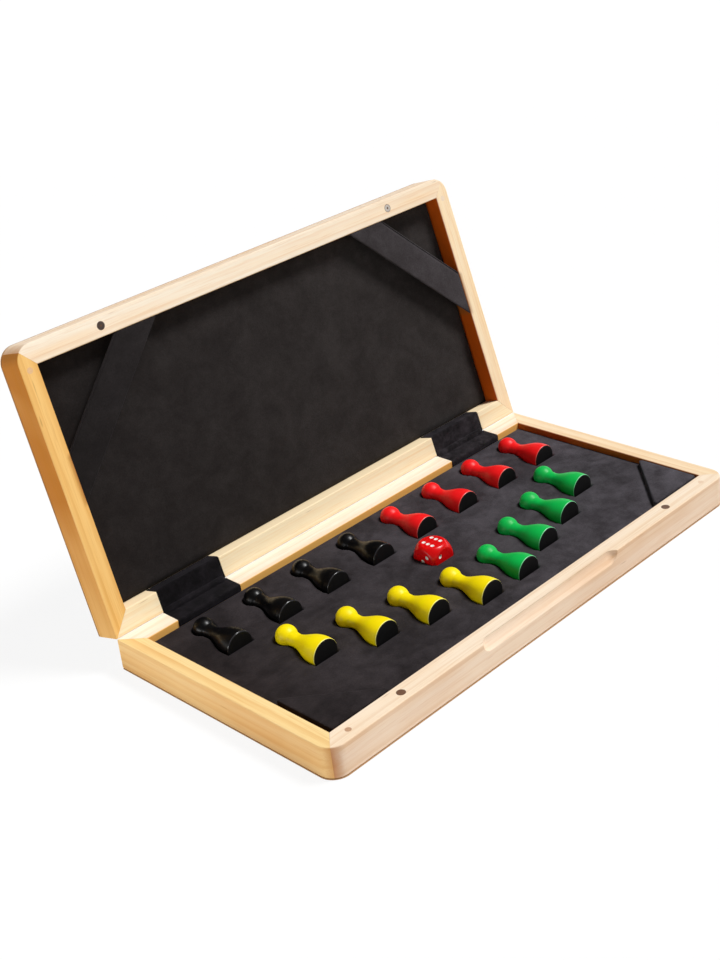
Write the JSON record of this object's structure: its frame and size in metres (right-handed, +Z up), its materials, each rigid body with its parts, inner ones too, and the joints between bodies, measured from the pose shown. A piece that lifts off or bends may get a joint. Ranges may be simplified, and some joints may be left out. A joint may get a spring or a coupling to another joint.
{
  "type": "folding board game box",
  "caption": "Folding wooden board game box: two shallow framed halves hinged at the back, pawns and a die lying in shaped pockets of the dark lined base, and an open lid with corner straps.",
  "frame": {"origin": "middle of the base's flat underside, on the surface the box lies on", "axes": "+Z up; +Y from the front edge with the finger groove towards the hinges; +X to the right along the fold"},
  "size_m": [0.3, 0.2065, 0.1613],
  "materials": {
    "pine": "satin clear varnish over pale pine",
    "plug_wood": "end grain, flush sanded",
    "plywood": "bare plywood",
    "play_sheet": "printed, satin varnish",
    "suede": "short dark grey-black nap",
    "hinge_steel": "plain zinc-plated",
    "magnet": "nickel plated, dulled",
    "black_lacquer": "glossy lacquer",
    "red_lacquer": "glossy lacquer",
    "yellow_lacquer": "glossy lacquer",
    "green_lacquer": "glossy lacquer",
    "die_plastic": "polished, painted pips"
  },
  "bodies": {
    "base": {"base_front_rail": "pine", "base_rear_rail": "pine", "base_left_rail": "pine", "base_right_rail": "pine", "base_board": "plywood", "base_play_sheet": "play_sheet", "base_insert": "suede", "base_corner_pad_left": "suede", "base_magnet_left": "magnet", "base_rim_plug_left": "plug_wood", "base_hinge_leaf_left": "hinge_steel", "hinge_pin_left": "hinge_steel", "hinge_cover_left": "suede", "base_corner_pad_right": "suede", "base_magnet_right": "magnet", "base_rim_plug_right": "plug_wood", "base_hinge_leaf_right": "hinge_steel", "hinge_pin_right": "hinge_steel", "hinge_cover_right": "suede"},
    "lid": {"lid_front_rail": "pine", "lid_rear_rail": "pine", "lid_left_rail": "pine", "lid_right_rail": "pine", "lid_board": "plywood", "lid_play_sheet": "play_sheet", "lid_lining": "suede", "lid_strap_left": "suede", "lid_magnet_left": "magnet", "lid_rim_plug_left": "plug_wood", "lid_hinge_leaf_left": "hinge_steel", "lid_strap_right": "suede", "lid_magnet_right": "magnet", "lid_rim_plug_right": "plug_wood", "lid_hinge_leaf_right": "hinge_steel"},
    "pawn_black_1": {"pawn_black_1": "black_lacquer"},
    "pawn_black_2": {"pawn_black_2": "black_lacquer"},
    "pawn_black_3": {"pawn_black_3": "black_lacquer"},
    "pawn_black_4": {"pawn_black_4": "black_lacquer"},
    "pawn_red_1": {"pawn_red_1": "red_lacquer"},
    "pawn_red_2": {"pawn_red_2": "red_lacquer"},
    "pawn_red_3": {"pawn_red_3": "red_lacquer"},
    "pawn_red_4": {"pawn_red_4": "red_lacquer"},
    "pawn_yellow_1": {"pawn_yellow_1": "yellow_lacquer"},
    "pawn_yellow_2": {"pawn_yellow_2": "yellow_lacquer"},
    "pawn_yellow_3": {"pawn_yellow_3": "yellow_lacquer"},
    "pawn_yellow_4": {"pawn_yellow_4": "yellow_lacquer"},
    "pawn_green_1": {"pawn_green_1": "green_lacquer"},
    "pawn_green_2": {"pawn_green_2": "green_lacquer"},
    "pawn_green_3": {"pawn_green_3": "green_lacquer"},
    "pawn_green_4": {"pawn_green_4": "green_lacquer"},
    "die_body": {"die": "die_plastic"}
  },
  "joints": [
    {"name": "lid_hinge", "type": "hinge", "parent": "base", "child": "lid", "pos_m": [0, 0.075, 0.017], "axis": [-1, 0, 0], "range_deg": [-105.5, 74.5], "deforming": ["hinge_cover_left", "hinge_cover_right"]},
    {"name": "pawn_black_1_lift", "type": "slide", "parent": "base", "child": "pawn_black_1", "axis": [0, 0, 1], "range_m": [0, 0.03]},
    {"name": "pawn_black_2_lift", "type": "slide", "parent": "base", "child": "pawn_black_2", "axis": [0, 0, 1], "range_m": [0, 0.03]},
    {"name": "pawn_black_3_lift", "type": "slide", "parent": "base", "child": "pawn_black_3", "axis": [0, 0, 1], "range_m": [0, 0.03]},
    {"name": "pawn_black_4_lift", "type": "slide", "parent": "base", "child": "pawn_black_4", "axis": [0, 0, 1], "range_m": [0, 0.03]},
    {"name": "pawn_red_1_lift", "type": "slide", "parent": "base", "child": "pawn_red_1", "axis": [0, 0, 1], "range_m": [0, 0.03]},
    {"name": "pawn_red_2_lift", "type": "slide", "parent": "base", "child": "pawn_red_2", "axis": [0, 0, 1], "range_m": [0, 0.03]},
    {"name": "pawn_red_3_lift", "type": "slide", "parent": "base", "child": "pawn_red_3", "axis": [0, 0, 1], "range_m": [0, 0.03]},
    {"name": "pawn_red_4_lift", "type": "slide", "parent": "base", "child": "pawn_red_4", "axis": [0, 0, 1], "range_m": [0, 0.03]},
    {"name": "pawn_yellow_1_lift", "type": "slide", "parent": "base", "child": "pawn_yellow_1", "axis": [0, 0, 1], "range_m": [0, 0.03]},
    {"name": "pawn_yellow_2_lift", "type": "slide", "parent": "base", "child": "pawn_yellow_2", "axis": [0, 0, 1], "range_m": [0, 0.03]},
    {"name": "pawn_yellow_3_lift", "type": "slide", "parent": "base", "child": "pawn_yellow_3", "axis": [0, 0, 1], "range_m": [0, 0.03]},
    {"name": "pawn_yellow_4_lift", "type": "slide", "parent": "base", "child": "pawn_yellow_4", "axis": [0, 0, 1], "range_m": [0, 0.03]},
    {"name": "pawn_green_1_lift", "type": "slide", "parent": "base", "child": "pawn_green_1", "axis": [0, 0, 1], "range_m": [0, 0.03]},
    {"name": "pawn_green_2_lift", "type": "slide", "parent": "base", "child": "pawn_green_2", "axis": [0, 0, 1], "range_m": [0, 0.03]},
    {"name": "pawn_green_3_lift", "type": "slide", "parent": "base", "child": "pawn_green_3", "axis": [0, 0, 1], "range_m": [0, 0.03]},
    {"name": "pawn_green_4_lift", "type": "slide", "parent": "base", "child": "pawn_green_4", "axis": [0, 0, 1], "range_m": [0, 0.03]},
    {"name": "die_lift", "type": "slide", "parent": "base", "child": "die_body", "axis": [0, 0, 1], "range_m": [0, 0.03]}
  ]
}
